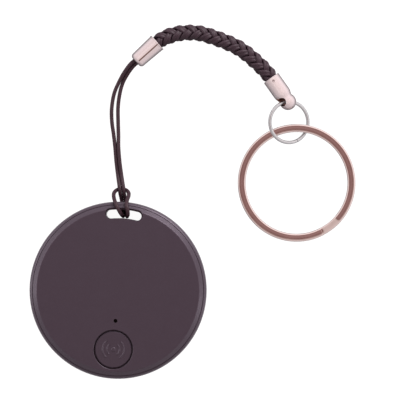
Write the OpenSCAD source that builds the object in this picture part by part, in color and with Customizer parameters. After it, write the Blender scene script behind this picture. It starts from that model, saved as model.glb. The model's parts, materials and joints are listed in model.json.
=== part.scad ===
// Round bluetooth tracker tag with a push button, a lanyard slot, a wrist-strap cord and a key ring.
// Millimetres. Origin: centre of the tag on the surface it lies on. +Z is up, out of the front cover.
// +Y points from the button to the lanyard slot. The strap is laid out beyond the slot.

/* [Tag] */
// Outer diameter of the tag
tag_d = 45; // [44.5:0.5:47]
// Thickness of the tag
tag_t = 8.6; // [8.6:0.1:9.4]
// Width of the sloping edge of the front cover
bevel_w = 1; // [0.6:0.1:1.1]
// Wall thickness of the rear case
wall_t = 1.6; // [1.4:0.1:1.6]

/* [Button] */
// Diameter of the push button
button_d = 9.36; // [9:0.02:9.4]
// Gap between the button and the cover
button_gap = 0.3; // [0.2:0.05:0.35]
// Distance from the tag's centre to the button's centre
button_offset = 15; // [14.6:0.1:15]
// Travel of the button
button_travel = 0.3; // [0.2:0.05:0.3]

/* [Lanyard slot] */
// Distance from the tag's centre to the slot's inner edge
slot_inner_r = 18.3; // [18.2:0.1:18.4]
// Width of the slot through the rear case
slot_w = 2.2; // [2.1:0.1:2.3]
// Half of the slot's arc, in degrees
slot_half_angle = 10; // [9:0.5:10.5]

/* [Coin cell] */
// Diameter of the coin cell
cell_d = 20; // [19.5:0.1:20]
// Thickness of the coin cell
cell_t = 3.2; // [2.8:0.1:3.2]

/* [Strap] */
// Diameter of the thin cord
cord_d = 0.95; // [0.8:0.05:0.95]
// Diameter of the braided cord
braid_d = 4.4; // [4:0.1:4.4]
// Wire diameter of the jump ring
jump_wire_d = 0.86; // [0.7:0.02:0.86]
// Outer diameter of the key ring
key_ring_d = 30; // [29.6:0.1:30.2]
// Width of the key ring's band
key_ring_w = 2; // [1.6:0.1:2]
// Height of both turns of the key ring together
key_ring_t = 1.6; // [1.4:0.1:1.6]

/* [Hidden] */

$fn = 96;
fit = 0.05;           // running gap between parts that locate each other
over = 0.5;           // how far a cutter runs past what it cuts

// ---- tag shell ----
tag_r = tag_d / 2;
cover_t = 1.2;
cover_z = tag_t - cover_t;               // underside of the front cover
bevel_drop = 0.95;
cover_inset = 0.9;                       // from the tag's outer edge to the cover's
parting_gap = 0.08;
cover_r = tag_r - cover_inset;
shoulder_r = 1.4;                        // rounding of the case where it meets the cover
shoulder_drop = 1.2;                     // from the cover's underside to that rounding's centre
foot_r = 1.9;                            // rounding of the case at the back
case_inner_r = tag_r - wall_t;
floor_t = 1.5;
skirt_t = 0.55;
skirt_h = 1.1;
skirt_r = case_inner_r - 2 * fit;
bead_h = 0.4;
bead_out = 0.18;
bead_rise = 0.1;                         // of the snap bead above the skirt's end
bead_z = cover_z - skirt_h + bead_rise + bead_h / 2;   // middle of the snap bead and its groove
cover_slot_w = slot_w + 0.5;
slot_wall_t = 0.9;
slot_wall_end_r = tag_r - 1;              // the walls end inside the case's own wall
slot_housing_w = 12.4;                   // room left for the slot's walls in the skirt and the board
cord_arch_r = 3.4;                       // round relief under the bar, for the cord
cord_arch_h = 1.35;
pinhole_r = 0.5;
pinhole_y = -7.7;

// ---- button and switch ----
button_r = button_d / 2;
flange_r = 5.6;
flange_t = 0.4;
stem_r = 1.2;
stem_h = 0.2;
flange_gap = 0.25;                       // between the flange and the cover's skirt
button_sunk = 0.05;
button_top = tag_t - button_sunk;
sign_h = 0.13;                           // relief of the sign on the button
sign_line_w = 0.5;
sign_slope = 0.16;                       // how far the sides of its lines lean in
sign_dot_r = 0.62;

// ---- battery door ----
door_r = 12.5;
door_gap = 0.15;
door_recess = 0.15;
door_plate_t = 0.85;
door_plate_top = door_recess + door_plate_t;
lip_z = door_plate_top + fit;
lip_r = 11.6;
neck_r = 11.4;
neck_inner_r = 10.9;
tab_z = floor_t + fit;
tab_t = 0.45;
tab_r = 12.3;
tab_gap = 0.2;
tab_arc = 22;
tab_count = 3;
notch_play = 2;                          // degrees
notch_arc = tab_arc + notch_play;
door_turn = 30;                          // degrees from locked to free
coin_slot = [10, 1.6, 0.45];             // length, width and depth
rib_inner_r = 6;
rib_outer_r = 6.8;
rib_h = 0.2;                             // the cell rests on this rib
seal_r = 11.9;
seal_wire_r = 0.2;
seal_proud = 0.03;

// ---- board and what it carries ----
board_r = 19.8;
board_z = 4.9;
board_t = 0.8;
board_top = board_z + board_t;
cell_z = door_plate_top + rib_h + fit;
cell_top = cell_z + cell_t;
holder_inner_r = 10.25;
holder_outer_r = 11.5;
holder_z = tab_z + tab_t + 2 * fit;
holder_peg_r = 0.5;
holder_peg_inset = 0.6;                  // from the holder's inner wall
holder_peg_ring_r = holder_inner_r + holder_peg_inset;
holder_peg_angles = [45, 225];
screw_ring_r = 16.6;
screw_angles = [30, 150, 210, 330];
post_r = 1.5;
screw_r = 0.6;
screw_head_r = 1.3;
screw_head_t = 0.6;
pilot_r = 0.62;
pilot_z = 2.9;
board_hole_r = 0.8;
switch_size = [4, 4, 0.6];
plunger_r = 1;
switch_base_t = 0.1;
plunger_z = board_top + switch_base_t + button_travel + fit;
radio_place = [-6.5, -3.5];
crystal_place = [-11.6, -3.5];
buzzer_y = 5.5;
buzzer_disc_r = 7.5;
buzzer_disc_t = 0.2;
ceramic_r = 5.2;
ceramic_t = 0.15;
adhesive_t = 0.2;
buzzer_disc_z = cover_z - adhesive_t - buzzer_disc_t;
contact_gap = 0.02;                       // contacts stop just short of what they press on

// ---- strap: places are measured from the outer edge of the bar, along +Y ----
cord_r = cord_d / 2;
braid_r = braid_d / 2;
cord_sides = 8;
cord_rings = 80;
braid_sides = 12;
braid_rings = 16;

// Thin cord from the ferrule, along its left strand, round the bar and back to the ferrule.
left_strand = [
    [-0.05, 36.55, 2.6], [-1.5, 35.1, 2.5], [-3.0, 32.7, 1.75], [-4.2, 30.0, 0.95], [-5.1, 27.2, 0.54],
    [-5.4, 23.6, 0.5], [-5.1, 20.2, 0.5], [-4.45, 17.2, 0.5], [-3.8, 13.9, 0.5], [-3.2, 10.2, 0.5],
    [-2.5, 6.7, 0.7], [-1.85, 3.8, 1.9]];
left_hitch = [
    [-1.5, 2.1, 1.8], [-1.05, 0.5, 0.8], [-0.75, -1.1, 0.6], [-0.45, -2.7, 1.1], [-0.25, -3.55, 3.0],
    [-0.25, -3.6, 5.6], [-0.65, -3.2, 7.9], [-1.35, -2.2, 8.95], [-2.1, -0.9, 8.8], [-2.7, 0.3, 7.4],
    [-3.05, 1.4, 4.9], [-2.95, 2.3, 2.6]];
bight = [[-2.2, 3.0, 1.1], [-1.2, 3.15, 0.8], [-0.15, 3.05, 1.05]];
right_hitch = [
    [0.6, 2.45, 2.5], [0.75, 1.6, 4.9], [0.5, 0.4, 7.4], [0.5, -0.9, 8.8], [0.9, -2.2, 8.95],
    [1.0, -3.2, 7.9], [0.76, -3.6, 5.6], [0.76, -3.55, 3.0], [0.52, -2.7, 1.1], [0.23, -1.1, 0.6],
    [-0.05, 0.5, 0.8], [-0.5, 2.1, 1.8]];
right_strand = [
    [-0.85, 3.8, 1.9], [-1.53, 6.6, 1.05], [-2.28, 10.1, 0.9], [-2.87, 13.8, 0.85], [-3.15, 17.0, 0.54],
    [-3.5, 20.3, 0.5], [-3.8, 24.0, 0.5], [-3.65, 27.3, 0.51], [-3.15, 30.0, 0.6], [-2.22, 32.2, 1.25],
    [-0.9, 34.4, 1.95], [0.55, 35.95, 2.15]];
cord_route = concat(left_strand, left_hitch, bight, right_hitch, right_strand);

// Braided cord from the ferrule to the end cap.
braid_route = [
    [4.9, 41.15, 2.35], [5.6, 41.75, 2.3], [7.3, 42.8, 2.25], [9.9, 43.8, 2.25], [12.7, 44.3, 2.25],
    [15.7, 44.3, 2.25], [18.7, 43.7, 2.25], [21.9, 42.8, 2.25], [25.0, 41.7, 2.25], [27.7, 40.2, 2.25],
    [30.2, 38.4, 2.25], [32.3, 36.7, 2.25], [34.0, 35.05, 2.3], [34.55, 34.4, 2.35]];

ferrule_start = [-0.15, 35.8, 2.4];
ferrule_angle = 46.6;
ferrule_len = 7.4;
ferrule_nose_r = 0.9;                    // rounding of its small end
ferrule_small_r = 2.06;
ferrule_large_r = 2.28;
ferrule_bead_r = 2.36;                   // raised rim at the braid's end
ferrule_cup_r = 1.9;
ferrule_cup_depth = 1.2;
strand_hole_r = cord_r + 2 * fit;
strand_hole_depth = 1;
strand_spacing = 0.98;
strand_turn = 30;                        // degrees: the left strand goes in above the right one
seam_w = 0.3;                            // closed groove where the ferrule's sheet meets
seam_depth = 0.24;
seam_start = 0.75;                       // from the small end
seam_stop = 0.1;                         // from its end to the rim
seam_turn = 12;                          // degrees from straight up

jump_r = 5.2;                            // centre line of the jump ring
jump_wire_r = jump_wire_d / 2;
jump_tilt = 20;                          // left side lies over the key ring, right side under it
jump_centre = [39.97, 23.55, 2.25];
jump_hold_angle = 98;                    // where on the jump ring the end cap sits
jump_gap_angle = 300;
jump_gap = 0.12;                         // slit where the wire's ends meet

cap_start = [34.55, 34.4, 2.35];
ball_r = 2.12;
cap_hole_r = 0.93;                       // cross hole that the jump ring runs through
cap_mouth_r = 1.1;                       // its wider left mouth, which leans up
cap_mouth_lift = 25;
cap_large_r = 2.25;
cap_waist_r = 1.88;
cap_cup_r = 1.95;
cap_cup_depth = 1;
dimple_r = 0.35;

key_r = key_ring_d / 2;
key_lift = 2.5;                          // degrees: the jump ring's wire holds up one side
key_centre = [43.15, 8.25, 1.457];
key_turn_start = -36;                    // degrees: the upper turn begins here
key_turn_arc = 338;
key_turn_t = key_ring_t / 2;
key_corner_r = 0.3;

// ---- helpers ----
function arc(centre, r, from, to, steps = 8) =
    [for (i = [0:steps]) let (a = from + (to - from) * i / steps) centre + r * [cos(a), sin(a)]];

function unit(v) = v / norm(v);

function spline_point(route, t) =
    let (last = len(route) - 1, i = min(floor(t), last - 1), f = t - i,
         b = route[i], c = route[i + 1],
         a = i > 0 ? route[i - 1] : 2 * b - c,
         d = i + 2 <= last ? route[i + 2] : 2 * c - b)
    0.5 * (2 * b + (c - a) * f + (2 * a - 5 * b + 4 * c - d) * f * f
           + (3 * b - a - 3 * c + d) * f * f * f);

function across(v, tangent) = unit(v - (v * tangent) * tangent);

// Tube of even thickness along a route, its sides carried along without twist.
module swept_tube(route, r, rings, sides) {
    span = len(route) - 1;
    small = 0.01;
    places = [for (i = [0:rings - 1]) span * i / (rings - 1)];
    points = [for (t = places) spline_point(route, t)];
    tangents = [for (t = places)
        unit(spline_point(route, min(t + small, span)) - spline_point(route, max(t - small, 0)))];
    ups = [for (i = 0, up = across([0, 0, 1], tangents[0]); i < rings;
                i = i + 1, up = i < rings ? across(up, tangents[i]) : up) up];
    skin = [for (i = [0:rings - 1], j = [0:sides - 1])
        let (a = 360 * j / sides, side = cross(tangents[i], ups[i]))
        points[i] + r * (cos(a) * ups[i] + sin(a) * side)];
    walls = [for (i = [0:rings - 2], j = [0:sides - 1])
        let (k = (j + 1) % sides)
        [i * sides + j, (i + 1) * sides + j, (i + 1) * sides + k, i * sides + k]];
    first_end = [for (j = [0:sides - 1]) j];
    last_end = [for (j = [sides - 1:-1:0]) (rings - 1) * sides + j];
    polyhedron(points = skin, faces = concat(walls, [first_end, last_end]), convexity = 10);
}

module ring_wall(inner_r, outer_r, height) {
    difference() {
        cylinder(r = outer_r, h = height);
        translate([0, 0, -over]) cylinder(r = inner_r, h = height + 2 * over);
    }
}

module block(size, x = 0, y = 0, z = 0) {
    translate([x - size[0] / 2, y - size[1] / 2, z]) cube(size);
}

// Curved slot with round ends, concentric with the tag.
module slot_shape(inner_r, outer_r, height) {
    width = outer_r - inner_r;
    rotate([0, 0, 90 - slot_half_angle]) rotate_extrude(angle = 2 * slot_half_angle)
        translate([inner_r, 0]) square([width, height]);
    for (side = [-1, 1])
        rotate([0, 0, 90 + side * slot_half_angle]) translate([inner_r + width / 2, 0, 0])
            cylinder(r = width / 2, h = height);
}

module at_bar() {
    translate([0, tag_r, 0]) children();
}

module at_screws() {
    for (a = screw_angles) rotate([0, 0, a]) translate([screw_ring_r, 0, 0]) children();
}

module at_pegs(z) {
    for (a = holder_peg_angles) rotate([0, 0, a]) translate([holder_peg_ring_r, 0, z]) children();
}

module at_tabs(shift = 0) {
    for (i = [0:tab_count - 1]) rotate([0, 0, i * 360 / tab_count + shift]) children();
}

// Part of a ring, centred on +X of its own frame.
module ring_sector(inner_r, outer_r, arc_angle, height) {
    rotate([0, 0, -arc_angle / 2]) rotate_extrude(angle = arc_angle)
        translate([inner_r, 0]) square([outer_r - inner_r, height]);
}

// ---- tag shell ----
module case_body() {
    shoulder_angle = 62;
    shoulder_centre = [tag_r - shoulder_r, cover_z - shoulder_drop];
    rim_r = cover_r + parting_gap;
    seat_z = cover_z - fit;
    rotate_extrude() polygon(concat(
        [[0, 0]],
        arc([tag_r - foot_r, foot_r], foot_r, -90, 0),
        arc(shoulder_centre, shoulder_r, 0, shoulder_angle),
        [[rim_r, seat_z], [case_inner_r, seat_z],
         [case_inner_r, bead_z + bead_h / 2 + fit], [case_inner_r + bead_out, bead_z],
         [case_inner_r, bead_z - bead_h / 2 - fit], [case_inner_r, floor_t], [0, floor_t]]));
}

module door_opening() {
    translate([0, 0, -over]) cylinder(r = door_r + door_gap, h = lip_z + over);
    cylinder(r = lip_r, h = floor_t + over);
    at_tabs(door_turn) ring_sector(lip_r - over, tab_r + tab_gap, notch_arc, floor_t + over);
}

module rear_case() {
    boss_h = cover_z - fit - floor_t;
    stop_arc = 2.5;
    stop_reach = 0.4;                        // how far a stop stands in the tabs' way
    stop_play = 1;                           // degrees
    sunk = 0.2;
    stop_shifts = [-(tab_arc + stop_arc + stop_play) / 2, door_turn + (notch_arc + stop_arc) / 2];
    color([0.2, 0.18, 0.2]) difference() {
        union() {
            case_body();
            intersection() {
                translate([0, 0, floor_t - sunk])
                    slot_shape(slot_inner_r - slot_wall_t, slot_wall_end_r, boss_h + sunk);
                cylinder(r = slot_wall_end_r, h = cover_z - fit);
            }
            at_screws() translate([0, 0, floor_t - sunk])
                cylinder(r = post_r, h = board_z - floor_t + sunk);
            for (shift = stop_shifts) at_tabs(shift) translate([0, 0, floor_t - sunk])
                ring_sector(tab_r - stop_reach, tab_r + tab_gap, stop_arc, tab_t + sunk);
        }
        door_opening();
        translate([0, 0, -over]) slot_shape(slot_inner_r, slot_inner_r + slot_w, tag_t + 2 * over);
        translate([0, slot_inner_r + slot_w / 2, cord_arch_h - cord_arch_r]) rotate([-90, 0, 0])
            cylinder(r = cord_arch_r, h = tag_r);
        at_screws() translate([0, 0, pilot_z]) cylinder(r = pilot_r, h = board_z);
    }
}

module cover_body() {
    edge_r = 0.35;
    bevel_angle = atan2(bevel_drop, bevel_w);
    edge_run = edge_r * tan(bevel_angle / 2);
    rotate_extrude() polygon(concat(
        [[0, cover_z], [skirt_r - skirt_t, cover_z], [skirt_r - skirt_t, cover_z - skirt_h],
         [skirt_r, cover_z - skirt_h], [skirt_r, bead_z - bead_h / 2], [skirt_r + bead_out, bead_z],
         [skirt_r, bead_z + bead_h / 2], [skirt_r, cover_z], [cover_r, cover_z],
         [cover_r, tag_t - bevel_drop]],
        arc([cover_r - bevel_w - edge_run, tag_t - edge_r], edge_r, 90 - bevel_angle, 90, 4),
        [[0, tag_t]]));
}

module front_cover() {
    button_edge = 0.12;
    button_hole_r = button_r + button_gap;
    skirt_cut = [slot_housing_w, 7, skirt_h + over];
    skirt_cut_y = case_inner_r - 0.4;        // middle of the cut, so that it spans the slot's walls
    cut_h = cover_t + 2 * over;
    color([0.24, 0.21, 0.24]) difference() {
        cover_body();
        translate([0, 0, cover_z - over]) slot_shape(slot_inner_r, slot_inner_r + cover_slot_w, cut_h);
        block(skirt_cut, 0, skirt_cut_y, cover_z - skirt_h - over);
        translate([0, -button_offset, cover_z - over]) cylinder(r = button_hole_r, h = cut_h);
        translate([0, -button_offset, tag_t - button_edge])
            cylinder(r1 = button_hole_r, r2 = button_hole_r + 2 * button_edge, h = 2 * button_edge);
        translate([0, pinhole_y, cover_z - over]) cylinder(r = pinhole_r, h = cut_h, $fn = 32);
    }
}

// ---- button and switch ----
// Beacon sign: a dot between two pairs of arcs, in thin relief with sloping sides.
module beacon_sign() {
    arc_span = 100;
    cylinder(r1 = sign_dot_r, r2 = sign_dot_r - sign_slope, h = sign_h, $fn = 32);
    for (side = [0, 180], r = [1.35, 2.45])
        rotate([0, 0, side - arc_span / 2]) rotate_extrude(angle = arc_span) polygon([
            [r, 0], [r + sign_line_w, 0], [r + sign_line_w - sign_slope, sign_h], [r + sign_slope, sign_h]]);
}

module button_cap() {
    edge = 0.22;
    flange_z = cover_z - fit - flange_t;
    sign_z = button_top - sign_h;
    sign_root = 0.02;                        // how far the sign runs down into the cap
    body_top = sign_z + sign_root;
    color([0.23, 0.2, 0.23]) translate([0, -button_offset, 0]) {
        translate([0, 0, flange_z]) rotate_extrude() polygon([
            [0, -stem_h], [stem_r, -stem_h], [stem_r, 0], [button_r, 0],
            [button_r, body_top - flange_z - edge], [button_r - edge, body_top - flange_z],
            [0, body_top - flange_z]]);
        intersection() {
            translate([0, 0, flange_z]) cylinder(r = flange_r, h = flange_t);
            translate([0, button_offset, flange_z - over])
                cylinder(r = skirt_r - skirt_t - flange_gap, h = flange_t + 2 * over);
        }
        translate([0, 0, sign_z]) beacon_sign();
    }
}

module switch_plunger() {
    plunger_top = cover_z - fit - flange_t - stem_h;
    color("ivory") translate([0, -button_offset, plunger_z])
        cylinder(r = plunger_r, h = plunger_top - plunger_z, $fn = 48);
}

module switch_body() {
    leg = [1, 0.6, 0.15];
    leg_place = [2.3, 1.4];
    color("silver") translate([0, -button_offset, board_top]) difference() {
        union() {
            block(switch_size);
            for (x = [-1, 1], y = [-1, 1]) block(leg, leg_place[0] * x, leg_place[1] * y);
        }
        translate([0, 0, switch_base_t]) cylinder(r = plunger_r + fit, h = switch_size[2], $fn = 48);
    }
}

// ---- board and electronics ----
module circuit_board() {
    cut_h = board_t + 2 * over;
    notch = [slot_housing_w, 6, cut_h];
    notch_y = slot_inner_r + 1.7;            // its middle: the notch is open at the board's edge
    color("darkgreen") difference() {
        translate([0, 0, board_z]) cylinder(r = board_r, h = board_t);
        block(notch, 0, notch_y, board_z - over);
        translate([0, 0, board_z - over]) at_screws() cylinder(r = board_hole_r, h = cut_h, $fn = 32);
        at_pegs(board_z - over) cylinder(r = holder_peg_r + fit, h = cut_h, $fn = 32);
    }
}

module radio_chip() {
    size = [5, 5, 0.85];
    color("black") block(size, radio_place[0], radio_place[1], board_top);
}

module crystal() {
    base = [3.2, 2.5, 0.5];
    lid = [2.8, 2.1, 0.2];
    color("silver") {
        block(base, crystal_place[0], crystal_place[1], board_top);
        block(lid, crystal_place[0], crystal_place[1], board_top + base[2]);
    }
}

module chip_antenna() {
    size = [1.8, 6.5, 0.9];
    place_x = -17;
    color("ivory") block(size, place_x, 0, board_top);
}

// Twelve in rows on the right, and one on each side of the crystal.
module passives() {
    chip = [1, 0.5, 0.35];
    column_x = [3, 5.2, 7.4, 9.6];
    row_y = [-5.6, -4, -2.4];
    beside_crystal = 2.5;
    color("tan") {
        for (x = column_x, y = row_y) block(chip, x, y, board_top);
        for (side = [-1, 1])
            block(chip, crystal_place[0], crystal_place[1] + side * beside_crystal, board_top);
    }
}

module status_led() {
    body = [1.6, 0.9, 0.35];
    lens = [1, 0.8, 0.3];
    color("white") {
        block(body, 0, pinhole_y, board_top);
        block(lens, 0, pinhole_y, board_top + body[2]);
    }
}

module buzzer_disc() {
    color("goldenrod") translate([0, buzzer_y, buzzer_disc_z])
        cylinder(r = buzzer_disc_r, h = buzzer_disc_t);
}

module buzzer_ceramic() {
    color("ivory") translate([0, buzzer_y, buzzer_disc_z - ceramic_t])
        cylinder(r = ceramic_r, h = ceramic_t);
}

module buzzer_adhesive() {
    inset = 0.1;
    width = 1.4;
    outer_r = buzzer_disc_r - inset;
    color("white") translate([0, buzzer_y, cover_z - adhesive_t])
        ring_wall(outer_r - width, outer_r, adhesive_t);
}

// Bent strip that stands on the board and presses up against the buzzer.
module contact_strip(height) {
    foot = 1.2;
    run = 1.6;
    width = 0.8;
    t = 0.15;
    translate([0, width / 2, 0]) rotate([90, 0, 0]) linear_extrude(height = width) polygon([
        [0, 0], [foot, 0], [foot + run, height - t], [2 * foot + run, height - t],
        [2 * foot + run, height], [foot + run - t, height], [foot - t, t], [0, t]]);
}

module buzzer_springs() {
    top = buzzer_disc_z - board_top - contact_gap;
    ceramic_spring = [-2.8, buzzer_y, board_top];
    disc_spring = [3.2, buzzer_y - 4.5, board_top];
    color("gold") {
        translate(ceramic_spring) contact_strip(top - ceramic_t);
        translate(disc_spring) contact_strip(top);
    }
}

module coin_cell() {
    cell_r = cell_d / 2;
    pole_step = 0.3;                         // how far the smaller pole stands past the can
    crimp_drop = 0.1;
    gasket_drop = 0.05;
    edge = 0.35;
    bevel = 0.1;
    can_t = cell_t - pole_step;
    rim_r = cell_r - 0.5;
    pole_r = cell_r - 1.2;
    color("silver") translate([0, 0, cell_z]) rotate_extrude() polygon(concat(
        [[0, 0]],
        arc([cell_r - edge, edge], edge, -90, 0, 5),
        [[cell_r, can_t - crimp_drop], [rim_r, can_t], [pole_r, can_t - gasket_drop],
         [pole_r, cell_t - bevel], [pole_r - bevel, cell_t], [0, cell_t]]));
}

module cell_holder() {
    gap = [5.2, 4, board_z];
    peg_root = 0.3;
    peg_short = 0.1;                         // the pegs end just inside the board's holes
    height = board_z - fit - holder_z;
    peg_h = peg_root + board_t - peg_short;
    color("ivory") {
        difference() {
            translate([0, 0, holder_z]) ring_wall(holder_inner_r, holder_outer_r, height);
            block(gap, 0, holder_outer_r, holder_z - over);
        }
        at_pegs(board_z - peg_root) cylinder(r = holder_peg_r, h = peg_h, $fn = 32);
    }
}

module positive_contact() {
    t = 0.2;
    width = 4;
    tab_len = 3;
    face_y = cell_d / 2 + 2 * fit;
    tab_y = face_y + tab_len;
    bottom_z = holder_z + t;
    top_z = board_z - contact_gap;
    color("gold") translate([-width / 2, 0, 0]) rotate([90, 0, 90]) linear_extrude(height = width)
        polygon([
            [face_y, bottom_z], [face_y + t, bottom_z], [face_y + t, top_z - t],
            [tab_y, top_z - t], [tab_y, top_z], [face_y, top_z]]);
}

module negative_contact() {
    t = 0.15;
    width = 3;
    base = 3.5;
    reach = 7;
    top_z = board_z - contact_gap;
    tip_z = cell_top + contact_gap;
    color("gold") translate([0, width / 2, 0]) rotate([90, 0, 0]) linear_extrude(height = width)
        for (side = [-1, 1]) polygon([
            [0, top_z], [side * base, top_z], [side * reach, tip_z + t], [side * reach, tip_z],
            [side * base, top_z - t], [0, top_z - t]]);
}

module board_screws() {
    slot_depth = 0.25;
    slot_cut = [2 * screw_head_r, 0.3, slot_depth + over];
    tip_gap = 0.2;                           // from the screw's tip to the pilot hole's end
    head_z = board_top + contact_gap;
    color("silver") at_screws() difference() {
        union() {
            translate([0, 0, pilot_z + tip_gap]) cylinder(r = screw_r, h = head_z - pilot_z, $fn = 32);
            translate([0, 0, head_z]) cylinder(r = screw_head_r, h = screw_head_t, $fn = 48);
        }
        for (turn = [0, 90]) rotate([0, 0, turn])
            block(slot_cut, 0, 0, head_z + screw_head_t - slot_depth);
    }
}

// ---- battery door ----
module battery_door() {
    seal_groove_w = 0.5;
    seal_groove_depth = 2 * seal_wire_r - 0.02;
    grip_dot_r = 0.5;
    grip_dot_depth = 0.3;
    grip_dot_ring_r = 9.5;
    slot_run = coin_slot[0] - coin_slot[1];
    tab_root_r = neck_inner_r + 0.1;
    color([0.18, 0.17, 0.18]) difference() {
        union() {
            translate([0, 0, door_recess]) cylinder(r = door_r, h = door_plate_t);
            translate([0, 0, door_plate_top])
                ring_wall(neck_inner_r, neck_r, tab_z + tab_t - door_plate_top);
            translate([0, 0, door_plate_top]) ring_wall(rib_inner_r, rib_outer_r, rib_h);
            at_tabs() translate([0, 0, tab_z]) ring_sector(tab_root_r, tab_r, tab_arc, tab_t);
        }
        translate([0, 0, door_plate_top - seal_groove_depth])
            ring_wall(seal_r - seal_groove_w / 2, seal_r + seal_groove_w / 2, over);
        block([slot_run, coin_slot[1], coin_slot[2] + over], 0, 0, door_recess - over);
        for (side = [-1, 1]) translate([side * slot_run / 2, 0, door_recess - over])
            cylinder(r = coin_slot[1] / 2, h = coin_slot[2] + over, $fn = 48);
        for (side = [-1, 1]) translate([0, side * grip_dot_ring_r, door_recess - over])
            cylinder(r = grip_dot_r, h = grip_dot_depth + over, $fn = 32);
    }
}

module door_seal() {
    color("dimgray") translate([0, 0, door_plate_top - seal_wire_r + seal_proud]) rotate_extrude()
        translate([seal_r, 0]) circle(r = seal_wire_r, $fn = 24);
}

// ---- strap ----
module cord_loop() {
    color([0.2, 0.15, 0.18]) at_bar() swept_tube(cord_route, cord_r, cord_rings, cord_sides);
}

module braided_cord() {
    color([0.17, 0.16, 0.17]) at_bar() swept_tube(braid_route, braid_r, braid_rings, braid_sides);
}

module loop_ferrule() {
    bead_len = 0.4;
    bead_edge = 0.1;
    taper_len = ferrule_len - bead_len;
    seam_lean = atan((ferrule_large_r - ferrule_small_r) / taper_len);
    seam_run = taper_len - seam_start - seam_stop;
    color("silver") at_bar() translate(ferrule_start) rotate([0, 90, ferrule_angle]) difference() {
        rotate_extrude() polygon(concat(
            [[0, 0]],
            arc([ferrule_small_r - ferrule_nose_r, ferrule_nose_r], ferrule_nose_r, -90, 0),
            [[ferrule_large_r, taper_len],
             [ferrule_bead_r, taper_len + bead_edge], [ferrule_bead_r, ferrule_len - bead_edge],
             [ferrule_bead_r - bead_edge, ferrule_len], [0, ferrule_len]]));
        translate([0, 0, ferrule_len - ferrule_cup_depth])
            cylinder(r = ferrule_cup_r, h = ferrule_cup_depth + over);
        for (side = [-1, 1]) rotate([0, 0, strand_turn]) translate([0, side * strand_spacing / 2, -over])
            cylinder(r = strand_hole_r, h = strand_hole_depth + over, $fn = 32);
        rotate([0, 0, 180 + seam_turn]) translate([ferrule_small_r - seam_depth, -seam_w / 2, seam_start])
            rotate([0, seam_lean, 0]) cube([ferrule_large_r, seam_w, seam_run]);
    }
}

// Stands children on the jump ring's own frame: its centre line lies in the XY plane.
module at_jump_ring() {
    translate(jump_centre) rotate([0, jump_tilt, 0]) children();
}

// End cap along +Z from its open end to the middle of its ball.
module cap_profile(length) {
    lip = 0.12;
    shoulder_z = 0.62 * length;
    shoulder_curve_r = 3;
    shoulder_bend = 20;                      // degrees
    waist_z = 0.83 * length;
    waist_angle = -acos(cap_waist_r / ball_r);
    rotate_extrude() polygon(concat(
        [[0, 0], [cap_large_r - lip, 0], [cap_large_r, lip], [cap_large_r, shoulder_z]],
        arc([cap_large_r - shoulder_curve_r, shoulder_z], shoulder_curve_r, 0, shoulder_bend, 5),
        [[cap_waist_r, waist_z]],
        arc([0, length], ball_r, waist_angle, 90, 14)));
}

module end_cap() {
    ball_centre = jump_centre + jump_r * [cos(jump_hold_angle) * cos(jump_tilt), sin(jump_hold_angle),
                                          -cos(jump_hold_angle) * sin(jump_tilt)];
    aim = ball_centre - cap_start;
    length = norm(aim);
    lean = acos(aim[2] / length);
    heading = atan2(aim[1], aim[0]);
    bore_h = 2 * (ball_r + over);
    color("silver") at_bar() difference() {
        translate(cap_start) rotate([0, lean, heading]) difference() {
            cap_profile(length);
            translate([0, 0, -over]) cylinder(r = cap_cup_r, h = cap_cup_depth + over);
            translate([-cap_large_r, 0, cap_cup_depth]) sphere(r = dimple_r, $fn = 24);
        }
        at_jump_ring() rotate([0, 0, jump_hold_angle]) translate([jump_r, 0, 0]) {
            rotate([90, 0, 0]) cylinder(r = cap_hole_r, h = bore_h, center = true);
            rotate([cap_mouth_lift - 90, 0, 0]) cylinder(r = cap_mouth_r, h = bore_h);
        }
    }
}

module jump_ring() {
    slit = 2 * asin(jump_gap / 2 / jump_r);
    color("gainsboro") at_bar() at_jump_ring() rotate([0, 0, jump_gap_angle + slit / 2])
        rotate_extrude(angle = 360 - slit) translate([jump_r, 0]) circle(r = jump_wire_r, $fn = 32);
}

// Part of one turn of the key ring, a flat band with rounded corners, from angle 0 on.
module key_band(width, height, arc_angle) {
    w = width / 2 - key_corner_r;
    h = height / 2 - key_corner_r;
    c = key_corner_r;
    middle = key_r - key_ring_w / 2;
    rotate_extrude(angle = arc_angle) polygon(concat(
        arc([middle + w, -h], c, -90, 0, 3), arc([middle + w, h], c, 0, 90, 3),
        arc([middle - w, h], c, 90, 180, 3), arc([middle - w, -h], c, 180, 270, 3)));
}

// Short slope where the wire climbs from the lower turn to the upper one: a leaning piece of band.
module key_ramp() {
    ramp_arc = 360 - key_turn_arc;
    run = (key_r - key_ring_w / 2) * sin(ramp_arc / 2);
    lean = atan(key_turn_t / 2 / run);
    bite = 1;                            // degrees that each end runs into its turn
    ease = 0.04;
    rotate([0, 0, key_turn_start - ramp_arc / 2]) rotate([lean, 0, 0])
        rotate([0, 0, -ramp_arc / 2 - bite])
            key_band(key_ring_w - ease, key_turn_t - ease, ramp_arc + 2 * bite);
}

module key_ring() {
    color("silver") at_bar() translate(key_centre) rotate([key_lift, 0, 0]) {
        for (level = [-1, 1]) translate([0, 0, level * key_turn_t / 2]) rotate([0, 0, key_turn_start])
            key_band(key_ring_w, key_turn_t, key_turn_arc);
        key_ramp();
    }
}

rear_case();
front_cover();
button_cap();
switch_plunger();
switch_body();
circuit_board();
radio_chip();
crystal();
chip_antenna();
passives();
status_led();
buzzer_disc();
buzzer_ceramic();
buzzer_adhesive();
buzzer_springs();
coin_cell();
cell_holder();
positive_contact();
negative_contact();
board_screws();
battery_door();
door_seal();
cord_loop();
loop_ferrule();
braided_cord();
end_cap();
jump_ring();
key_ring();
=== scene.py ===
import json
import math

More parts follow.
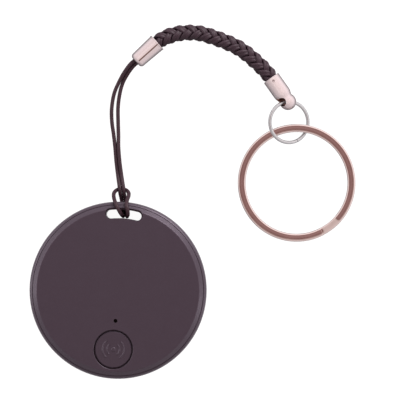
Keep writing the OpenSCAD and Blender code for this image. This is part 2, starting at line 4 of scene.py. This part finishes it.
import bpy
import numpy as np
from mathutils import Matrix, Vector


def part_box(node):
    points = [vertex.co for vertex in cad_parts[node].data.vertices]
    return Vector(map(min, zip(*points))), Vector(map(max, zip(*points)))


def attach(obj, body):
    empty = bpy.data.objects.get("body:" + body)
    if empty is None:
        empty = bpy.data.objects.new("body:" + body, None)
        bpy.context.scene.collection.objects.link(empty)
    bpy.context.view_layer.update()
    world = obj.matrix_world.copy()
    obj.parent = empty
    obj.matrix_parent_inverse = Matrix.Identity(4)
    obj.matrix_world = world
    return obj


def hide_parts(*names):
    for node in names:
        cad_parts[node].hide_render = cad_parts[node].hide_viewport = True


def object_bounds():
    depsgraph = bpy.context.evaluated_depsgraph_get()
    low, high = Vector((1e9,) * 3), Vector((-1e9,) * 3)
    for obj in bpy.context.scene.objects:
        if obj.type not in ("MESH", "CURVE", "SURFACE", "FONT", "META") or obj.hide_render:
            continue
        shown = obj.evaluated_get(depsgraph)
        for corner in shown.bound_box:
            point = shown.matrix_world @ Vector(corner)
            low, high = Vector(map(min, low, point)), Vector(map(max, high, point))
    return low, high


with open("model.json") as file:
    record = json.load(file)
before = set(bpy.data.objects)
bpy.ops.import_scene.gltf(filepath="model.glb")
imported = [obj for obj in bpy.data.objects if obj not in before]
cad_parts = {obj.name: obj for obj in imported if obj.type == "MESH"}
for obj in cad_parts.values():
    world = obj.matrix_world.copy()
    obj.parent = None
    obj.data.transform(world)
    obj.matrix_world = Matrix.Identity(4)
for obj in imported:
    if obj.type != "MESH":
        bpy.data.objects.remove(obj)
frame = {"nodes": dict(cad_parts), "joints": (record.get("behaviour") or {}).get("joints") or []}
cad_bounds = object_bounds()

MM = 0.001


# ---------------------------------------------------------------- camera
CAMERA_HEIGHT = 0.900                    # metres above the table, looking straight down
CAMERA_ROLL = math.radians(4.5)
CAMERA_LENS = 316.9                      # millimetres
CAMERA_NUDGE = (0.0011, 0.0012)          # metres from the middle of the object's box


def make_camera():
    low, high = cad_bounds
    data = bpy.data.cameras.new("camera")
    data.lens = CAMERA_LENS
    camera = bpy.data.objects.new("camera", data)
    camera.location = (
        (low.x + high.x) / 2 + CAMERA_NUDGE[0],
        (low.y + high.y) / 2 + CAMERA_NUDGE[1],
        CAMERA_HEIGHT,
    )
    camera.rotation_euler = (0, 0, CAMERA_ROLL)
    bpy.context.scene.collection.objects.link(camera)
    bpy.context.scene.camera = camera


# ---------------------------------------------------------------- curves and tubes
def spline_point(route, t):
    """A point on the smooth curve through the route, as part.scad draws it."""
    last = len(route) - 1
    i = min(int(t), last - 1)
    f = t - i
    start, end = route[i], route[i + 1]
    before = route[i - 1] if i > 0 else 2 * start - end
    after = route[i + 2] if i + 2 <= last else 2 * end - start
    bend = 2 * before - 5 * start + 4 * end - after
    twist = 3 * start - before - 3 * end + after
    return 0.5 * (2 * start + (end - before) * f + bend * f**2 + twist * f**3)


def line_along(route, step):
    """Points on the curve through the route, about step apart, and how far along it each one is."""
    route = np.array(route, float)
    per_span = 40
    spans = len(route) - 1
    fine = np.array([spline_point(route, t) for t in np.linspace(0, spans, spans * per_span + 1)])
    run = np.r_[0, np.cumsum(np.linalg.norm(np.diff(fine, axis=0), axis=1))]
    along = np.linspace(0, run[-1], int(round(run[-1] / step)) + 1)
    return np.stack([np.interp(along, run, fine[:, k]) for k in range(3)], axis=1), along


def unit(v):
    return v / np.linalg.norm(v, axis=-1, keepdims=True)


def frames_along(line):
    """Up and left at each point. Up starts along +Z and is carried along without twist."""
    tangents = unit(np.gradient(line, axis=0))
    ups = np.zeros_like(line)
    up = np.array([0.0, 0.0, 1.0])
    for i, tangent in enumerate(tangents):
        up = up - (up @ tangent) * tangent
        up = up / np.linalg.norm(up)
        ups[i] = up
    return ups, np.cross(ups, tangents)


def angles_round(sides):
    return np.arange(sides) / sides * 2 * math.pi


def round_skin(line, frames, radius, angle):
    """Rings of points round a line. The radius is one number, or one for each point of each ring."""
    ups, lefts = frames
    return (
        line[:, None, :]
        + (radius * np.cos(angle))[..., None] * ups[:, None, :]
        + (radius * np.sin(angle))[..., None] * lefts[:, None, :]
    )


def grid_faces(rings, sides):
    """Quads of a tube of rings, closed at both ends by a fan round a middle point each."""
    faces = []
    for i in range(rings - 1):
        for j in range(sides):
            k = (j + 1) % sides
            faces.append((i * sides + j, i * sides + k, (i + 1) * sides + k, (i + 1) * sides + j))
    first, last = rings * sides, rings * sides + 1
    top = (rings - 1) * sides
    for j in range(sides):
        k = (j + 1) % sides
        faces.append((first, k, j))
        faces.append((last, top + j, top + k))
    return faces


def tube_mesh(name, skin, along):
    """A closed tube from rings of points. Its UV map holds millimetres along, and turns round."""
    rings, sides = skin.shape[:2]
    ends = np.stack([skin[0].mean(axis=0), skin[-1].mean(axis=0)])
    points = np.concatenate([skin.reshape(-1, 3), ends])
    mesh = bpy.data.meshes.new(name)
    mesh.from_pydata(points.tolist(), [], grid_faces(rings, sides))
    index = np.zeros(len(mesh.loops), int)
    mesh.loops.foreach_get("vertex_index", index)
    ring = np.minimum(index // sides, rings - 1)
    turn = index % sides / sides
    wall_corners = (rings - 1) * sides * 4
    turn[:wall_corners] = closed_turns(turn[:wall_corners].reshape(-1, 4)).reshape(-1)
    layer = mesh.uv_layers.new(name="along")
    layer.data.foreach_set("uv", np.stack([along[ring] / MM, turn], axis=1).reshape(-1))
    return piece_from(name, mesh)


def closed_turns(quads):
    """The turns of each quad's corners. A quad that closes the ring ends at 1, not at 0."""
    closing = quads.max(axis=1) - quads.min(axis=1) > 0.5
    return np.where(closing[:, None] & (quads < 0.5), quads + 1, quads)


def piece_from(name, mesh):
    mesh.validate()
    mesh.shade_smooth()
    piece = bpy.data.objects.new(name, mesh)
    bpy.context.scene.collection.objects.link(piece)
    return piece


# ---------------------------------------------------------------- thin cord
# The routes repeat the cords' points in the CAD, in millimetres from the outer edge of the bar.
BAR_Y = -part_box("rear_case")[0].y
CORD_D = 0.95 * MM
CORD_LEFT_STRAND = [
    (-0.05, 36.55, 2.6), (-1.5, 35.1, 2.5), (-3.0, 32.7, 1.75), (-4.2, 30.0, 0.95), (-5.1, 27.2, 0.54),
    (-5.4, 23.6, 0.5), (-5.1, 20.2, 0.5), (-4.45, 17.2, 0.5), (-3.8, 13.9, 0.5), (-3.2, 10.2, 0.5),
    (-2.5, 6.7, 0.7), (-1.85, 3.8, 1.9)]
CORD_LEFT_HITCH = [
    (-1.5, 2.1, 1.8), (-1.05, 0.5, 0.8), (-0.75, -1.1, 0.6), (-0.45, -2.7, 1.1), (-0.25, -3.55, 3.0),
    (-0.25, -3.6, 5.6), (-0.65, -3.2, 7.9), (-1.35, -2.2, 8.95), (-2.1, -0.9, 8.8), (-2.7, 0.3, 7.4),
    (-3.05, 1.4, 4.9), (-2.95, 2.3, 2.6)]
CORD_BIGHT = [(-2.2, 3.0, 1.1), (-1.2, 3.15, 0.8), (-0.15, 3.05, 1.05)]
CORD_RIGHT_HITCH = [
    (0.6, 2.45, 2.5), (0.75, 1.6, 4.9), (0.5, 0.4, 7.4), (0.5, -0.9, 8.8), (0.9, -2.2, 8.95),
    (1.0, -3.2, 7.9), (0.76, -3.6, 5.6), (0.76, -3.55, 3.0), (0.52, -2.7, 1.1), (0.23, -1.1, 0.6),
    (-0.05, 0.5, 0.8), (-0.5, 2.1, 1.8)]
CORD_RIGHT_STRAND = [
    (-0.85, 3.8, 1.9), (-1.53, 6.6, 1.05), (-2.28, 10.1, 0.9), (-2.87, 13.8, 0.85), (-3.15, 17.0, 0.54),
    (-3.5, 20.3, 0.5), (-3.8, 24.0, 0.5), (-3.65, 27.3, 0.51), (-3.15, 30.0, 0.6), (-2.22, 32.2, 1.25),
    (-0.9, 34.4, 1.95), (0.55, 35.95, 2.15)]


def from_bar(points):
    """Points from the bar, in millimetres, as points of the frame, in metres."""
    return np.array(points, float) * MM + np.array([0.0, BAR_Y, 0.0])


def braid_relief(turn, along, strands, lead):
    """Height, from 0 to 1, of a plain braid's surface, where turn goes round it once from 0 to 1."""
    middle, swing = 0.6, 0.4              # each strand's height, and how far it goes over and under
    u = strands * (turn - along / lead)
    v = strands * (turn + along / lead)
    i, j = np.round(u), np.round(v)
    one = np.cos(math.pi * (u - i)) * (middle + swing * np.cos(math.pi * v) * np.where(i % 2, -1, 1))
    other = np.cos(math.pi * (v - j)) * (middle - swing * np.cos(math.pi * u) * np.where(j % 2, -1, 1))
    return np.maximum(one, other)


def make_cord_loop():
    """Fine round braid of nylon, tied to the bar with a lark's head hitch."""
    step = 0.1 * MM
    sides = 36
    strands = 6
    lead = 3.4 * MM
    relief = 0.07 * MM
    proud = 0.03 * MM                    # how far the lumps stand past the nominal diameter
    route = from_bar(
        CORD_LEFT_STRAND + CORD_LEFT_HITCH + CORD_BIGHT + CORD_RIGHT_HITCH + CORD_RIGHT_STRAND
    )
    line, along = line_along(route, step)
    angle = angles_round(sides)
    height = braid_relief(angle / (2 * math.pi), along[:, None], strands, lead)
    radius = CORD_D / 2 + proud - relief * (1 - height)
    cord = tube_mesh("thin_cord", round_skin(line, frames_along(line), radius, angle), along)
    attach(cord, "tag")
    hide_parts("cord_loop")
    cord.data.materials.append(cord_nylon())
    return cord


# ---------------------------------------------------------------- thick braid
BRAID_ROUTE = [
    (4.9, 41.15, 2.35), (5.6, 41.75, 2.3), (7.3, 42.8, 2.25), (9.9, 43.8, 2.25), (12.7, 44.3, 2.25),
    (15.7, 44.3, 2.25), (18.7, 43.7, 2.25), (21.9, 42.8, 2.25), (25.0, 41.7, 2.25), (27.7, 40.2, 2.25),
    (30.2, 38.4, 2.25), (32.3, 36.7, 2.25), (34.0, 35.05, 2.3), (34.55, 34.4, 2.35)]
BRAID_LEAD = 10.4 * MM                    # length in which a strand goes round once
BRAID_STRANDS = 4                         # each way
BRAID_ROLL = math.radians(-32)            # where the first column of strands faces, from straight up


def braid_line():
    """The braid's middle, run on a little into the metal at both ends."""
    step = 0.16 * MM
    into_cup = 0.8 * MM
    route = from_bar(BRAID_ROUTE)
    start = route[0] - unit(route[1] - route[0]) * into_cup
    end = route[-1] + unit(route[-1] - route[-2]) * into_cup
    return line_along(np.concatenate([[start], route, [end]]), step)


def ease(x):
    """From 0 to 1, level at both ends."""
    x = np.clip(x, 0, 1)
    return x * x * (3 - 2 * x)


def braid_strand(name, line, along, frames, number, way):
    """One plump strand. It floats over two strands of the other way, then dives under two."""
    ups, lefts = frames
    sides = 28
    half_width, half_thickness = 0.87 * MM, 0.48 * MM
    width_under, thickness_under = 0.66, 0.8      # share of these left where it dives under
    middle_r, swing = 1.27 * MM, 0.44 * MM
    yarn_groove, groove_width = 0.16 * MM, 0.3    # each strand is two yarns side by side
    mouth, neck = 2.6 * MM, 0.8                   # it starts out narrower at the metal
    crossing = BRAID_LEAD / (2 * BRAID_STRANDS)
    half_column = math.radians(180 / (2 * BRAID_STRANDS))

    fit = neck + (1 - neck) * ease(np.minimum(along, along[-1] - along) / mouth)
    outermost = 0.5 - 2 * number if way > 0 else 2 * number - 2.5    # counted in crossings
    over = np.cos((along / crossing - outermost) * math.pi / 2)
    turn = number / BRAID_STRANDS + way * along / BRAID_LEAD
    angle = 2 * math.pi * turn - half_column + BRAID_ROLL
    outward = np.cos(angle)[:, None] * ups + np.sin(angle)[:, None] * lefts
    centre = line + ((middle_r + swing * over) * fit)[:, None] * outward
    heading = unit(np.gradient(centre, axis=0))
    normal = unit(outward - np.sum(outward * heading, axis=1, keepdims=True) * heading)
    across = np.cross(heading, normal)

    shown = 0.5 + 0.5 * over
    width = half_width * (width_under + (1 - width_under) * shown) * fit
    thick = half_thickness * (thickness_under + (1 - thickness_under) * shown) * fit
    section = angles_round(sides)
    yarn_edge = np.exp(-((np.cos(section) / groove_width) ** 2)) * np.maximum(np.sin(section), 0)
    dip = yarn_groove * yarn_edge
    skin = (
        centre[:, None, :]
        + (width[:, None] * np.cos(section))[:, :, None] * across[:, None, :]
        + (thick[:, None] * np.sin(section) - dip[None, :])[:, :, None] * normal[:, None, :]
    )
    return tube_mesh(name, skin, along)


def make_braided_cord():
    """Eight strands, four each way, joined to the core that they go round."""
    core_r = 1.15 * MM
    core_sides = 20
    line, along = braid_line()
    frames = frames_along(line)
    strands = [
        braid_strand(f"braid_{label}_{number}", line, along, frames, number, way)
        for way, label in ((1, "right"), (-1, "left"))
        for number in range(BRAID_STRANDS)
    ]
    skin = round_skin(line, frames, core_r, angles_round(core_sides))
    core = tube_mesh("braided_cord_thick", skin, along)
    nylon = braid_nylon()
    bpy.ops.object.select_all(action="DESELECT")
    for part in strands + [core]:
        part.data.materials.append(nylon)
        part.select_set(True)
    bpy.context.view_layer.objects.active = core
    bpy.ops.object.join()
    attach(core, "tag")
    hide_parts("braided_cord")
    return core


# ---------------------------------------------------------------- key ring
def wire_profile(width, thickness, side_run, crown):
    """Section of the flat wire: low crowned faces between two rounded sides, as (across, up) points."""
    face_points, side_points = 24, 22
    half_flat, half_t = width / 2 - side_run, thickness / 2
    across = np.linspace(half_flat, -half_flat, face_points)
    face = half_t - crown * (across / half_flat) ** 2
    side = np.radians(np.linspace(90, -90, side_points)[1:-1])
    left_side = np.stack([-half_flat - side_run * np.cos(side), (half_t - crown) * np.sin(side)], axis=1)
    top = np.stack([across, face], axis=1)
    return np.concatenate([top, left_side, -top, -left_side])


def gentle_ramp(x):
    """A straight climb from 0 to 1 with a short bend at each end."""
    bend = 0.12                               # of the whole climb
    x = np.clip(x, 0, 1)
    steep = 1 / (1 - bend)
    rise = np.where(x < bend, steep * x**2 / (2 * bend), steep * (x - bend / 2))
    return np.where(x > 1 - bend, 1 - steep * (1 - x) ** 2 / (2 * bend), rise)


def make_key_ring():
    """Split ring: flat wire in two turns, with one eased climb from the lower turn to the upper."""
    width, turn_t = 2.0 * MM, 0.8 * MM
    side_run, crown = 0.46 * MM, 0.03 * MM
    corner_r = 0.06 * MM                      # rounding of the wire's cut ends
    lift = math.radians(2.5)                  # the jump ring's wire holds one side up
    start = math.radians(-36)                 # where the wire's lower end is
    climb = math.radians(22)                  # how far round it goes from the lower turn to the upper
    steps = 900

    low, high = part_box("key_ring")
    outer_r = (high.x - low.x) / 2
    middle_r = outer_r - width / 2
    centre_z = low.z + outer_r * math.sin(lift) + turn_t * math.cos(lift)
    centre = np.array([(low.x + high.x) / 2, (low.y + high.y) / 2, centre_z])
    one_turn = 2 * math.pi
    travel = np.linspace(0, 2 * one_turn - climb, steps)
    level = -turn_t / 2 + turn_t * gentle_ramp((travel - (one_turn - climb)) / climb)
    profile = wire_profile(width, turn_t, side_run, crown)
    out_x, out_y = np.cos(start + travel)[:, None], np.sin(start + travel)[:, None]
    reach = middle_r + profile[None, :, 0]
    y = out_y * reach
    z = level[:, None] + profile[None, :, 1]
    tilted_y = y * math.cos(lift) - z * math.sin(lift)
    tilted_z = y * math.sin(lift) + z * math.cos(lift)
    skin = np.stack([out_x * reach, tilted_y, tilted_z], axis=2) + centre
    ring = tube_mesh("key_ring_wire", skin, travel * middle_r)
    bevel = ring.modifiers.new("corners", "BEVEL")
    bevel.width = corner_r
    bevel.segments = 3
    bevel.limit_method = "ANGLE"
    bevel.angle_limit = math.radians(60)
    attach(ring, "large_ring")
    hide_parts("key_ring")
    ring.data.materials.append(ring_nickel())
    return ring


# ---------------------------------------------------------------- materials
class Surface:
    """A node material: a principled shader, with helpers for the nodes in front of it."""

    def __init__(self, name, roughness, metallic=0.0, **sockets):
        self.material = bpy.data.materials.new(name)
        self.material.use_nodes = True
        self.nodes = self.material.node_tree.nodes
        self.links = self.material.node_tree.links
        self.shader = self.nodes["Principled BSDF"]
        self.shader.inputs["Roughness"].default_value = roughness
        self.shader.inputs["Metallic"].default_value = metallic
        for socket, value in sockets.items():
            self.shader.inputs[socket.replace("_", " ")].default_value = value

    def add(self, kind, **settings):
        node = self.nodes.new(kind)
        for key, value in settings.items():
            setattr(node, key, value)
        return node

    def place(self):
        """Object coordinates, in millimetres."""
        coordinates = self.add("ShaderNodeTexCoord")
        mapping = self.add("ShaderNodeMapping")
        mapping.inputs["Scale"].default_value = (1 / MM, 1 / MM, 1 / MM)
        self.links.new(coordinates.outputs["Object"], mapping.inputs["Vector"])
        return mapping.outputs["Vector"]

    def uv(self, stretch):
        """Millimetres along and turns round, stretched. For tubes only."""
        source = self.add("ShaderNodeUVMap", uv_map="along")
        mapping = self.add("ShaderNodeMapping")
        mapping.inputs["Scale"].default_value = stretch
        self.links.new(source.outputs["UV"], mapping.inputs["Vector"])
        return mapping.outputs["Vector"]

    def noise(self, vector, scale, detail=2.0, roughness=0.5):
        node = self.add("ShaderNodeTexNoise")
        node.inputs["Scale"].default_value = scale
        node.inputs["Detail"].default_value = detail
        node.inputs["Roughness"].default_value = roughness
        self.links.new(vector, node.inputs["Vector"])
        return node.outputs["Fac"]

    def ramp(self, factor, stops):
        node = self.add("ShaderNodeValToRGB")
        fill_ramp(node, stops)
        self.links.new(factor, node.inputs["Fac"])
        return node.outputs["Color"]

    def spread(self, factor, low, high):
        """The factor from 0..1 to low..high."""
        node = self.add("ShaderNodeMapRange")
        node.inputs["To Min"].default_value = low
        node.inputs["To Max"].default_value = high
        self.links.new(factor, node.inputs["Value"])
        return node.outputs["Result"]

    def vector(self, operation, first, second=None):
        """A vector operation on an output, or on an output and a fixed vector."""
        node = self.add("ShaderNodeVectorMath", operation=operation)
        self.links.new(first, node.inputs[0])
        if second is not None:
            node.inputs[1].default_value = tuple(second)
        return node.outputs["Value" if operation in ("LENGTH", "DOT_PRODUCT") else "Vector"]

    def off_line(self, offset, direction):
        """How far a place is from a line, from its offset to a point of the line."""
        return self.vector("LENGTH", self.vector("CROSS_PRODUCT", offset, direction))

    def color(self, output):
        self.links.new(output, self.shader.inputs["Base Color"])

    def rough(self, output):
        self.links.new(output, self.shader.inputs["Roughness"])

    def bump(self, height, distance, strength):
        node = self.add("ShaderNodeBump")
        node.inputs["Strength"].default_value = strength
        node.inputs["Distance"].default_value = distance
        self.links.new(height, node.inputs["Height"])
        self.links.new(node.outputs["Normal"], self.shader.inputs["Normal"])


def fill_ramp(node, stops):
    """Sets a colour ramp's stops, each a place from 0 to 1 and a colour."""
    elements = node.color_ramp.elements
    while len(elements) < len(stops):
        elements.new(0.5)
    for element, (place, color) in zip(elements, stops):
        element.position = place
        element.color = (*color, 1)


def scaled(color, factor):
    return tuple(c * factor for c in color)


def shell_plastic(name, tint, roughness):
    """Moulded plastic with a fine spark texture, faintly speckled."""
    surface = Surface(name, roughness, Specular_IOR_Level=0.6, Specular_Tint=(1.0, 0.84, 1.0, 1.0))
    place = surface.place()
    speckle = surface.noise(place, 3.2, 3.0, 0.7)
    shades = [(0.30, 0.9), (0.55, 1.0), (0.66, 1.07), (0.75, 1.35)]
    surface.color(surface.ramp(speckle, [(level, scaled(tint, shade)) for level, shade in shades]))
    surface.rough(surface.spread(surface.noise(place, 0.35, 3.0), roughness - 0.03, roughness + 0.03))
    surface.bump(surface.noise(place, 9.0), 0.012 * MM, 0.6)
    return surface.material


def cord_nylon():
    """Dark nylon with fine fibres along the cord."""
    tint = (0.030, 0.0130, 0.0190)
    surface = Surface("cord_nylon", 0.5, Specular_IOR_Level=0.25)
    fibres = surface.noise(surface.uv((2.0, 60.0, 1.0)), 1.0)
    surface.color(surface.ramp(fibres, [(0.3, scaled(tint, 0.6)), (0.7, scaled(tint, 1.4))]))
    surface.bump(fibres, 0.02 * MM, 0.5)
    return surface.material


def braid_nylon():
    """Dark nylon with coarser fibres along each strand."""
    tint = (0.028, 0.0150, 0.0215)
    surface = Surface("braid_nylon", 0.5, Specular_IOR_Level=0.22)
    fibres = surface.noise(surface.uv((1.2, 36.0, 1.0)), 1.0)
    surface.color(surface.ramp(fibres, [(0.3, scaled(tint, 0.6)), (0.7, scaled(tint, 1.5))]))
    surface.bump(fibres, 0.06 * MM, 0.6)
    return surface.material


BRIGHT_NICKEL = (0.75, 0.675, 0.675)


def plating(surface, place, smoothest, roughest):
    """Adds patchy gloss and fine wear to a plated metal. Gives the pattern of the patches."""
    patches = surface.noise(place, 0.4, 3.0)
    surface.rough(surface.spread(patches, smoothest, roughest))
    surface.bump(surface.noise(place, 3.0), 0.003 * MM, 0.4)
    return patches


def polished(name, tint, roughness):
    """Plated metal with faint tarnish and fine wear."""
    surface = Surface(name, roughness, metallic=1.0)
    patches = plating(surface, surface.place(), roughness * 0.8, roughness * 1.3)
    surface.color(surface.ramp(patches, [(0.25, scaled(tint, 0.93)), (0.75, scaled(tint, 1.04))]))
    return surface.material


def cap_nickel():
    """Bright plating, painted a dull brown inside the hole that the jump ring runs through: painted
    shade.
    """
    hole = next(joint for joint in frame["joints"] if joint["name"] == "jump_ring_swing")
    surface = Surface("cap_nickel", 0.28, metallic=1.0)
    place = surface.place()
    from_hole = surface.vector("SUBTRACT", place, [c / MM for c in hole["pos_m"]])
    # Painted shade: dull brown within the hole's radius of its axis, bright plating outside it.
    hole_shade = [(0.0, (0.46, 0.27, 0.22)), (0.93, (0.50, 0.31, 0.26)), (1.0, BRIGHT_NICKEL)]
    surface.color(surface.ramp(surface.off_line(from_hole, hole["axis"]), hole_shade))
    plating(surface, place, 0.30, 0.44)
    return surface.material


def ferrule_nickel():
    """Bright plating; a dark brown band painted along its closed upper join is a painted reflection."""
    foot = [-0.15, 35.8, 2.4]                 # of the ferrule's axis, from the bar, as in the CAD
    heading = math.radians(46.6)
    seam_turn = math.radians(12)              # from the top, round the axis
    seam_h, seam_slope = 1.94, 0.0314         # its height over the axis at the foot, and its climb
    seam_start, seam_r = 0.75, 0.2            # how far from the foot it starts, and half its width

    along = np.array([math.cos(heading), math.sin(heading), 0.0])
    aside = np.array([-math.sin(heading), math.cos(heading), 0.0])
    over = np.array([0.0, 0.0, math.cos(seam_turn)]) - aside * math.sin(seam_turn)
    seam_foot = from_bar(foot) / MM + over * seam_h
    surface = Surface("ferrule_nickel", 0.3, metallic=1.0)
    place = surface.place()
    from_foot = surface.vector("SUBTRACT", place, seam_foot)
    before = surface.add("ShaderNodeMath", operation="SUBTRACT")
    before.inputs[0].default_value = seam_start + seam_r
    surface.links.new(surface.vector("DOT_PRODUCT", from_foot, along), before.inputs[1])
    outside = surface.add("ShaderNodeMath", operation="MAXIMUM")
    surface.links.new(surface.off_line(from_foot, unit(along + over * seam_slope)), outside.inputs[0])
    surface.links.new(before.outputs["Value"], outside.inputs[1])
    # The closed join is a real thin line; the dark brown band along it is a painted reflection of the
    # dark ceiling on the upper side.
    seam_reflection = [(0.0, (0.16, 0.10, 0.09)), (0.19, (0.22, 0.14, 0.12)), (0.22, BRIGHT_NICKEL)]
    surface.color(surface.ramp(outside.outputs["Value"], seam_reflection))
    plating(surface, place, 0.26, 0.38)
    return surface.material


def ring_nickel():
    return polished("ring_nickel", (0.80, 0.69, 0.66), 0.12)


def plain(name, tint, roughness, metallic=0.0):
    """A faintly mottled material, for the seal and the pieces inside the tag."""
    surface = Surface(name, roughness, metallic=metallic)
    mottle = surface.noise(surface.place(), 4.0)
    surface.color(surface.ramp(mottle, [(0.3, scaled(tint, 0.88)), (0.7, scaled(tint, 1.1))]))
    surface.bump(mottle, 0.006 * MM, 0.5)
    return surface.material


def dress(material, *nodes):
    """Gives the material to nodes that keep their CAD shape."""
    for node in nodes:
        data = frame["nodes"][node].data
        data.materials.clear()
        data.materials.append(material)


def dress_outside():
    shell = shell_plastic("shell_plastic", (0.027, 0.0190, 0.0275), 0.42)
    dress(shell, "rear_case", "front_cover", "battery_door")
    dress(shell_plastic("button_plastic", (0.026, 0.0183, 0.0265), 0.42), "button_cap")
    dress(ferrule_nickel(), "loop_ferrule")
    dress(cap_nickel(), "end_cap")
    dress(polished("wire_nickel", (0.60, 0.63, 0.64), 0.24), "jump_ring")
    dress(plain("seal_rubber", (0.02, 0.02, 0.02), 0.7), "door_seal")


def dress_inside():
    dress(plain("white_plastic", (0.75, 0.73, 0.68), 0.5), "switch_plunger", "cell_holder")
    # Painted shade: the LED is painted nearly black, so the hole over it reads dark; a real LED is
    # clear.
    dress(plain("led_painted_shade", (0.05, 0.04, 0.04), 0.5), "status_led")
    dress(plain("board_laminate", (0.01, 0.10, 0.04), 0.35), "circuit_board")
    dress(plain("chip_resin", (0.02, 0.02, 0.02), 0.6), "radio_chip")
    dress(plain("white_ceramic", (0.8, 0.78, 0.72), 0.4), "chip_antenna", "buzzer_ceramic")
    dress(plain("passive_ceramic", (0.35, 0.24, 0.14), 0.5), "passives")
    dress(plain("foam_tape", (0.8, 0.8, 0.78), 0.9), "buzzer_adhesive")
    dress(plain("tin_plate", (0.7, 0.7, 0.68), 0.35, metallic=1.0), "switch_body", "crystal")
    dress(plain("buzzer_brass", (0.75, 0.58, 0.25), 0.3, metallic=1.0), "buzzer_disc")
    gold = plain("gold_plate", (0.85, 0.64, 0.28), 0.25, metallic=1.0)
    dress(gold, "buzzer_springs", "positive_contact", "negative_contact")
    dress(plain("cell_steel", (0.68, 0.68, 0.67), 0.3, metallic=1.0), "coin_cell")
    dress(plain("screw_steel", (0.6, 0.6, 0.6), 0.35, metallic=1.0), "board_screws")


# ---------------------------------------------------------------- stage
def make_floor():
    """A pale glowing table. Polished parts mirror the studio's lower half instead of it."""
    half_side, drop = 1.5, 0.02 * MM
    around = ((-1, -1), (1, -1), (1, 1), (-1, 1))
    corners = [(x * half_side, y * half_side, -drop) for x, y in around]
    mesh = bpy.data.meshes.new("floor")
    mesh.from_pydata(corners, [], [(0, 1, 2, 3)])
    floor = piece_from("floor", mesh)
    surface = Surface("floor_panel", 0.9, Emission_Color=(1, 1, 1, 1), Emission_Strength=0.95)
    cloudy = surface.noise(surface.place(), 0.05)
    surface.color(surface.ramp(cloudy, [(0.3, (0.24, 0.24, 0.24)), (0.7, (0.26, 0.26, 0.26))]))
    mesh.materials.append(surface.material)
    floor.visible_glossy = False


# The height of a direction, from -1 below to 1 above, and the light that comes from there.
STUDIO_LIGHT = [
    (-1.0, (0.20, 0.19, 0.20)), (-0.60, (0.26, 0.25, 0.26)), (-0.25, (0.78, 0.74, 0.76)),
    (0.10, (1.04, 0.95, 0.97)), (0.80, (0.98, 0.87, 0.87)), (0.90, (0.90, 0.78, 0.77)),
    (0.952, (0.74, 0.62, 0.60)), (0.972, (0.27, 0.145, 0.135)), (0.985, (0.25, 0.130, 0.122)),
    (1.0, (0.38, 0.235, 0.23))]
STUDIO_TILT = (0.14, 0.32, 0.0)           # how much brighter it is towards the right and the back


def make_world():
    """A softly lit room: pale walls, dim floor and ceiling, brighter towards the back right."""
    world = bpy.data.worlds.new("studio")
    bpy.context.scene.world = world
    world.use_nodes = True
    nodes, links = world.node_tree.nodes, world.node_tree.links
    background = nodes["Background"]
    coordinates = nodes.new("ShaderNodeTexCoord")
    split = nodes.new("ShaderNodeSeparateXYZ")
    height = nodes.new("ShaderNodeMapRange")
    height.inputs["From Min"].default_value = -1
    ramp = nodes.new("ShaderNodeValToRGB")
    lean = nodes.new("ShaderNodeVectorMath")
    lean.operation = "DOT_PRODUCT"
    lean.inputs[1].default_value = STUDIO_TILT
    strength = nodes.new("ShaderNodeMath")
    strength.operation = "ADD"
    strength.inputs[1].default_value = 1.0
    links.new(coordinates.outputs["Generated"], split.inputs["Vector"])
    links.new(split.outputs["Z"], height.inputs["Value"])
    links.new(height.outputs["Result"], ramp.inputs["Fac"])
    links.new(ramp.outputs["Color"], background.inputs["Color"])
    links.new(coordinates.outputs["Generated"], lean.inputs[0])
    links.new(lean.outputs["Value"], strength.inputs[0])
    links.new(strength.outputs["Value"], background.inputs["Strength"])
    fill_ramp(ramp, [((up + 1) / 2, color) for up, color in STUDIO_LIGHT])


def collection_of(name, pieces):
    collection = bpy.data.collections.new(name)
    for piece in pieces:
        collection.objects.link(piece)
    return collection


def softbox(name, place, size, power, lit, shaded_by=None):
    """A square soft light, in metres and watts, turned to the tag. It lights only the lit pieces.
    With shaded_by only those pieces block it, so that it can shine through the table."""
    data = bpy.data.lights.new(name, "AREA")
    data.size = size
    data.energy = power
    light = bpy.data.objects.new(name, data)
    light.location = place
    light.rotation_euler = light.location.to_track_quat("Z", "Y").to_euler()
    light.light_linking.receiver_collection = lit
    light.light_linking.blocker_collection = shaded_by
    bpy.context.scene.collection.objects.link(light)


def make_light(cords):
    """A soft room, softboxes round the tag and the cords, one high above the ferrule and the cap,
    and one under the table, which gives the tag's rim the table's glow."""
    make_world()
    nodes = frame["nodes"]
    tag = [nodes[name] for name in ("rear_case", "front_cover", "button_cap", "battery_door")]
    shell = collection_of("lit_shell", tag)
    shell_and_cords = collection_of("lit_shell_and_cords", tag + cords)
    metal = collection_of("lit_metal", [nodes["loop_ferrule"], nodes["end_cap"]])
    softbox("softbox_key", (0.101, 0.187, 0.108), 0.115, 0.45, shell_and_cords)
    softbox("softbox_left", (-0.30, 0.10, 0.16), 0.20, 0.4, shell_and_cords)
    softbox("softbox_low_left", (-0.30, -0.03, 0.05), 0.08, 0.12, shell)
    softbox("softbox_low_right", (0.30, -0.04, 0.05), 0.08, 0.08, shell)
    softbox("softbox_top", (0.0, 0.04, 1.2), 1.0, 2.0, metal)
    softbox("softbox_table", (0.0, 0.0, -0.3), 1.2, 5.5, shell, shaded_by=shell)


def set_view():
    """Shows the colours as they come out of the render."""
    view = bpy.context.scene.view_settings
    view.view_transform = "Standard"
    view.look = "None"
    view.exposure = 0
    view.gamma = 1


make_camera()
thin_cord = make_cord_loop()
key_ring_wire = make_key_ring()
thick_braid = make_braided_cord()
dress_outside()
dress_inside()
make_floor()
make_light([thin_cord, thick_braid])
set_view()
